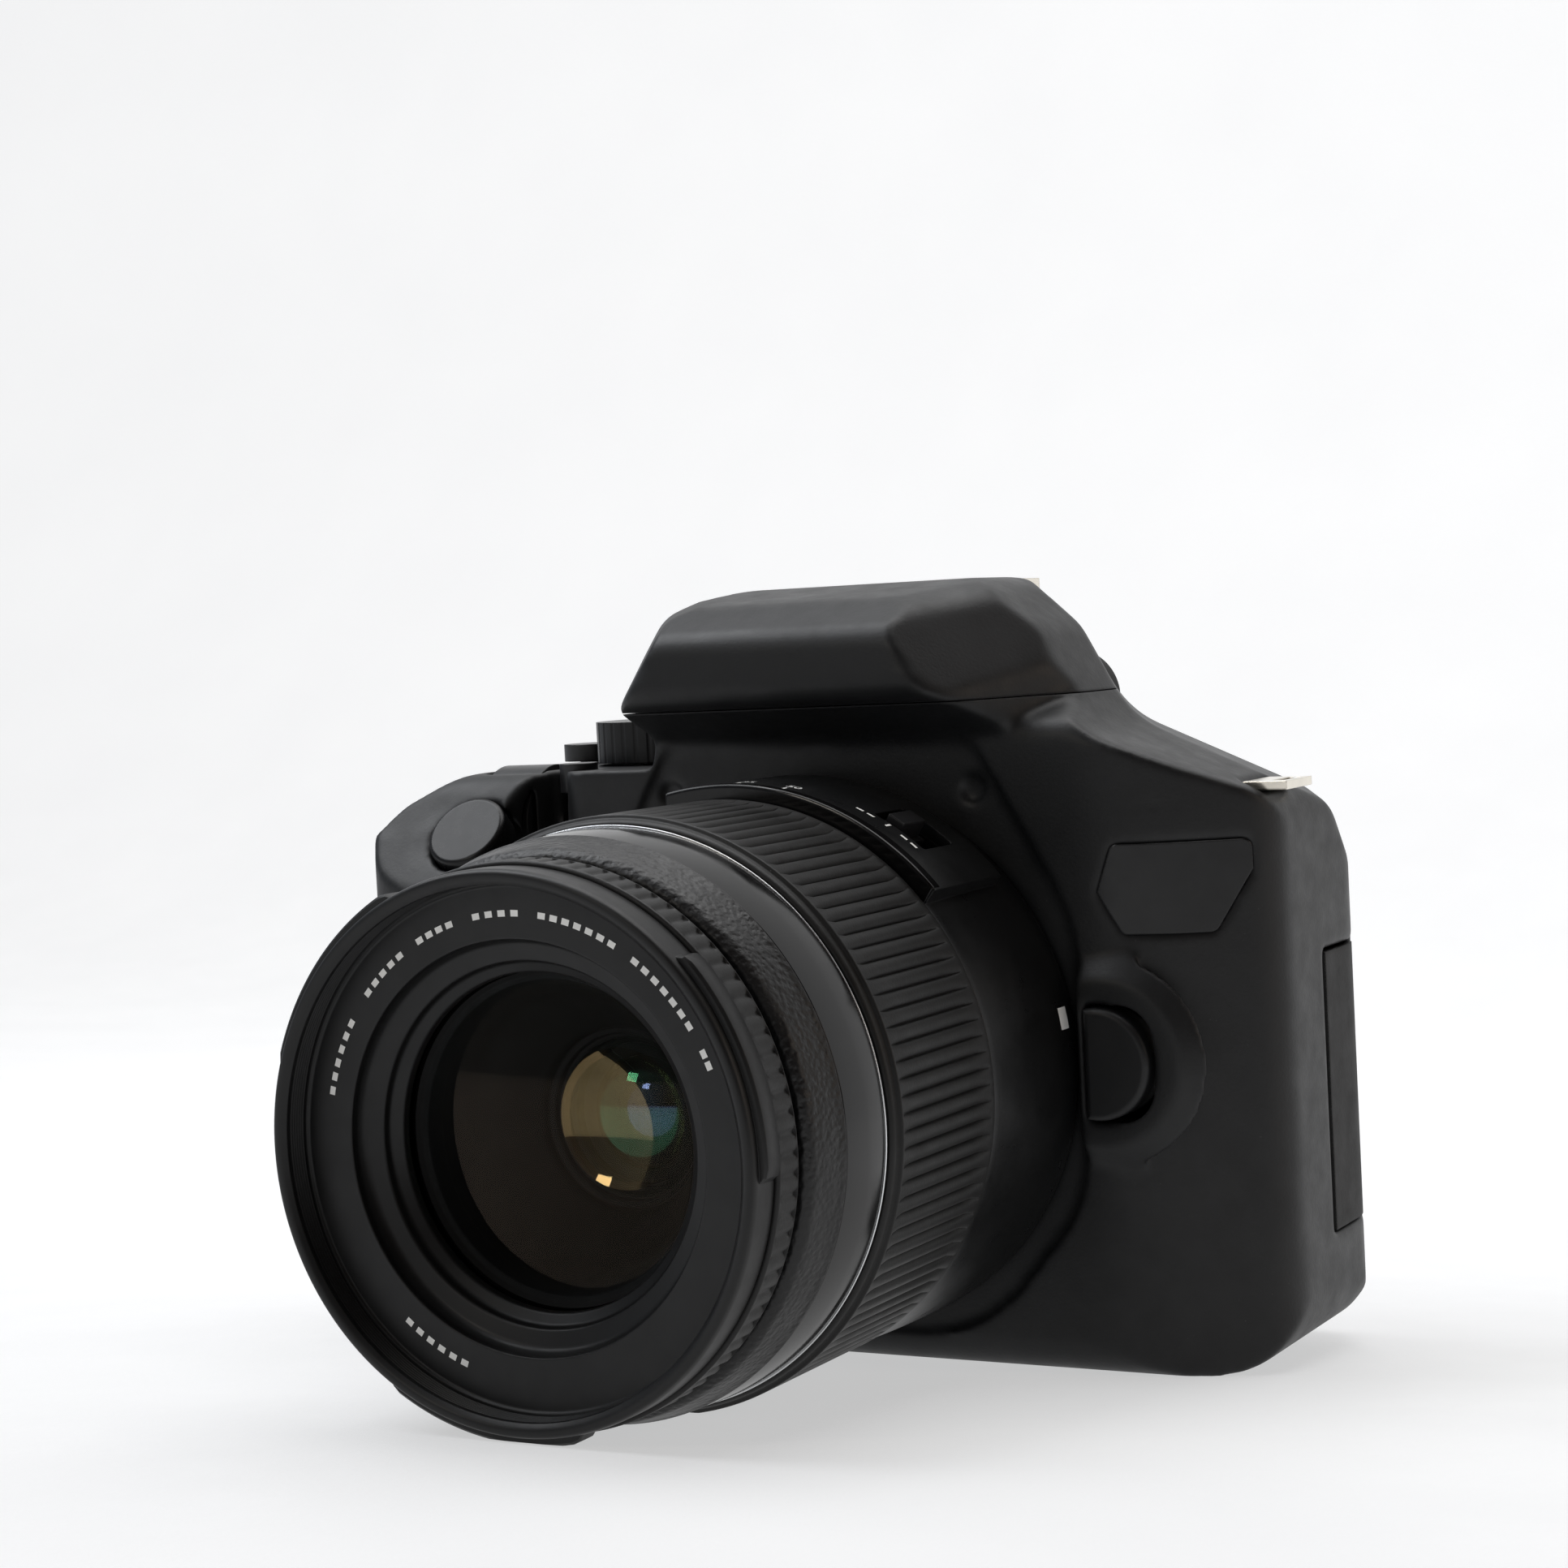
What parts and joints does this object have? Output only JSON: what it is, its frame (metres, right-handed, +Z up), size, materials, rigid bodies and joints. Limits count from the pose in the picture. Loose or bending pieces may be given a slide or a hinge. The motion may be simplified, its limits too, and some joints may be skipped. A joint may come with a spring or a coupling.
{
  "type": "dslr camera",
  "caption": "Single-lens reflex digital camera with its zoom lens, pop-up flash, dials, keys and opening doors.",
  "frame": {"origin": "mouth of the tripod socket, on the base plane under the optical axis", "axes": "+Z up, the lens points along -Y, +X is the camera's own left (terminal) side"},
  "size_m": [0.13, 0.141, 0.0993],
  "materials": {
    "battery": "moulded grey-black case",
    "board": "solder-masked circuit board",
    "bright_steel": "plated steel",
    "clear_plastic": "ribbed clear plastic",
    "dark_metal": "blackened metal",
    "gloss_black": "gloss black",
    "grip_rubber": "textured black rubber",
    "key_black": "semi-gloss black keys",
    "mirror": "front-silvered",
    "mount_steel": "turned stainless steel",
    "optical_glass": "coated optical glass",
    "satin_black": "satin black",
    "screen": "hard-coated display window",
    "sensor": "filter glass over the sensor",
    "shell": "fine grained black polycarbonate",
    "soft_rubber": "smooth black rubber"
  },
  "bodies": {
    "camera": {"front_cover": "shell", "rear_cover": "shell", "top_cover": "shell", "bottom_cover": "shell", "grip_rubber": "grip_rubber", "thumb_rubber": "grip_rubber", "mount_panel": "shell", "name_plate": "satin_black", "lens_mount_ring": "mount_steel", "mirror_box": "dark_metal", "pentamirror": "mirror", "shutter_frame": "dark_metal", "image_sensor": "sensor", "battery_chamber": "shell", "main_board": "board", "battery": "battery", "memory_card": "battery", "terminal_block": "shell", "hot_shoe": "bright_steel", "eyecup": "soft_rubber", "eyepiece_lens": "optical_glass", "lcd_window": "screen", "strap_lugs": "bright_steel", "tripod_socket": "bright_steel", "body_screws": "dark_metal", "lens_barrel": "satin_black", "barrel_collar": "satin_black", "rear_elements": "optical_glass"},
    "zoom": {"zoom_ring": "soft_rubber"},
    "inner": {"inner_barrel": "satin_black"},
    "focus": {"focus_ring": "soft_rubber", "front_ring": "satin_black", "front_element": "optical_glass"},
    "af_switch": {"af_mf_switch": "key_black"},
    "mirror": {"main_mirror": "mirror"},
    "second_mirror": {"sub_mirror": "mirror"},
    "shutter": {"shutter_blades": "dark_metal"},
    "flash": {"flash_head": "shell", "flash_window": "clear_plastic"},
    "mode": {"mode_dial": "satin_black"},
    "power": {"power_switch": "key_black"},
    "wheel": {"main_dial": "key_black"},
    "release": {"lens_release_button": "key_black"},
    "lock": {"lens_lock_pin": "bright_steel"},
    "shutter_key": {"shutter_button": "gloss_black"},
    "flash_key": {"flash_button": "key_black"},
    "diopter": {"diopter_knob": "key_black"},
    "door": {"battery_door": "shell"},
    "latch": {"battery_latch": "key_black"},
    "side_door": {"terminal_cover": "soft_rubber"},
    "live_view_key": {"live_view_button": "key_black"},
    "ae_lock_key": {"ae_lock_button": "key_black"},
    "af_point_key": {"af_point_button": "key_black"},
    "exposure_key": {"exposure_button": "key_black"},
    "quick_key": {"quick_button": "key_black"},
    "menu_key": {"menu_button": "key_black"},
    "playback_key": {"playback_button": "key_black"},
    "erase_key": {"erase_button": "key_black"},
    "cross_key": {"cross_keys": "key_black"},
    "set_key": {"set_button": "key_black"}
  },
  "joints": [
    {"name": "zoom_turn", "type": "hinge", "parent": "camera", "child": "zoom", "pos_m": [0, -0.06, 0.0393], "axis": [0, -1, 0], "range_deg": [0, 60]},
    {"name": "zoom_extend", "type": "slide", "parent": "camera", "child": "inner", "axis": [0, -1, 0], "range_m": [0, 0.0141]},
    {"name": "focus_turn", "type": "hinge", "parent": "inner", "child": "focus", "pos_m": [0, -0.095, 0.0393], "axis": [0, -1, 0], "range_deg": [0, 80]},
    {"name": "af_mf_slide", "type": "slide", "parent": "camera", "child": "af_switch", "axis": [0.8339, 0, -0.5519], "range_m": [0, 0.003]},
    {"name": "mirror_lift", "type": "hinge", "parent": "camera", "child": "mirror", "pos_m": [0, 0.0062, 0.053], "axis": [-1, 0, 0], "range_deg": [0, 45], "stiffness_Nm_per_rad": 0.01, "springref_deg": -17.19},
    {"name": "second_mirror_fold", "type": "hinge", "parent": "mirror", "child": "second_mirror", "pos_m": [0, -0.00214, 0.04154], "axis": [-1, 0, 0], "range_deg": [0, 90.5]},
    {"name": "shutter_travel", "type": "slide", "parent": "camera", "child": "shutter", "axis": [0, 0, -1], "range_m": [0, 0.0185], "stiffness_N_per_m": 20, "springref_m": -0.004},
    {"name": "flash_raise", "type": "hinge", "parent": "camera", "child": "flash", "pos_m": [0, -0.002, 0.097], "axis": [-1, 0, 0], "range_deg": [0, 75]},
    {"name": "mode_turn", "type": "hinge", "parent": "camera", "child": "mode", "pos_m": [-0.0345, -0.006, 0.08], "axis": [0, 0, 1], "continuous": true},
    {"name": "power_turn", "type": "hinge", "parent": "camera", "child": "power", "pos_m": [-0.0505, 0.001, 0.078], "axis": [0, 0, 1], "range_deg": [0, 40]},
    {"name": "wheel_turn", "type": "hinge", "parent": "camera", "child": "wheel", "pos_m": [-0.049, -0.0174, 0.0692], "axis": [1, 0, 0], "continuous": true},
    {"name": "release_press", "type": "slide", "parent": "camera", "child": "release", "axis": [0, 1, 0], "range_m": [0, 0.0016], "stiffness_N_per_m": 800},
    {"name": "lock_pull", "type": "slide", "parent": "camera", "child": "lock", "axis": [0, 1, 0], "range_m": [0, 0.00165]},
    {"name": "shutter_press", "type": "slide", "parent": "camera", "child": "shutter_key", "axis": [0, 0.7408, -0.6717], "range_m": [0, 0.001], "stiffness_N_per_m": 600},
    {"name": "flash_press", "type": "slide", "parent": "camera", "child": "flash_key", "axis": [0, 0, -1], "range_m": [0, 0.0005], "stiffness_N_per_m": 600},
    {"name": "diopter_turn", "type": "hinge", "parent": "camera", "child": "diopter", "pos_m": [-0.0195, 0.023, 0.084], "axis": [0, 1, 0], "range_deg": [-150, 150]},
    {"name": "door_open", "type": "hinge", "parent": "camera", "child": "door", "pos_m": [-0.0466, -0.008, 0.001], "axis": [0, -1, 0], "range_deg": [0, 90]},
    {"name": "latch_slide", "type": "slide", "parent": "door", "child": "latch", "axis": [0, 1, 0], "range_m": [0, 0.003]},
    {"name": "side_door_open", "type": "hinge", "parent": "camera", "child": "side_door", "pos_m": [0.05615, 0.0121, 0.032], "axis": [0, 0, 1], "range_deg": [0, 95]},
    {"name": "live_view_press", "type": "slide", "parent": "camera", "child": "live_view_key", "axis": [0, -1, 0], "range_m": [0, 0.0006], "stiffness_N_per_m": 600},
    {"name": "ae_lock_press", "type": "slide", "parent": "camera", "child": "ae_lock_key", "axis": [0, -1, 0], "range_m": [0, 0.0006], "stiffness_N_per_m": 600},
    {"name": "af_point_press", "type": "slide", "parent": "camera", "child": "af_point_key", "axis": [0, -1, 0], "range_m": [0, 0.0006], "stiffness_N_per_m": 600},
    {"name": "exposure_press", "type": "slide", "parent": "camera", "child": "exposure_key", "axis": [0, -1, 0], "range_m": [0, 0.0006], "stiffness_N_per_m": 600},
    {"name": "quick_press", "type": "slide", "parent": "camera", "child": "quick_key", "axis": [0, -1, 0], "range_m": [0, 0.0006], "stiffness_N_per_m": 600},
    {"name": "menu_press", "type": "slide", "parent": "camera", "child": "menu_key", "axis": [0, -1, 0], "range_m": [0, 0.0006], "stiffness_N_per_m": 600},
    {"name": "playback_press", "type": "slide", "parent": "camera", "child": "playback_key", "axis": [0, -1, 0], "range_m": [0, 0.0006], "stiffness_N_per_m": 600},
    {"name": "erase_press", "type": "slide", "parent": "camera", "child": "erase_key", "axis": [0, -1, 0], "range_m": [0, 0.0006], "stiffness_N_per_m": 600},
    {"name": "cross_press", "type": "slide", "parent": "camera", "child": "cross_key", "axis": [0, -1, 0], "range_m": [0, 0.0006], "stiffness_N_per_m": 600},
    {"name": "set_press", "type": "slide", "parent": "camera", "child": "set_key", "axis": [0, -1, 0], "range_m": [0, 0.0006], "stiffness_N_per_m": 600}
  ],
  "couplings": [
    {"joint": "zoom_extend", "follows": "zoom_turn", "m_per_rad": 0.01336},
    {"joint": "second_mirror_fold", "follows": "mirror_lift", "ratio": 2},
    {"joint": "lock_pull", "follows": "release_press", "ratio": 1}
  ]
}
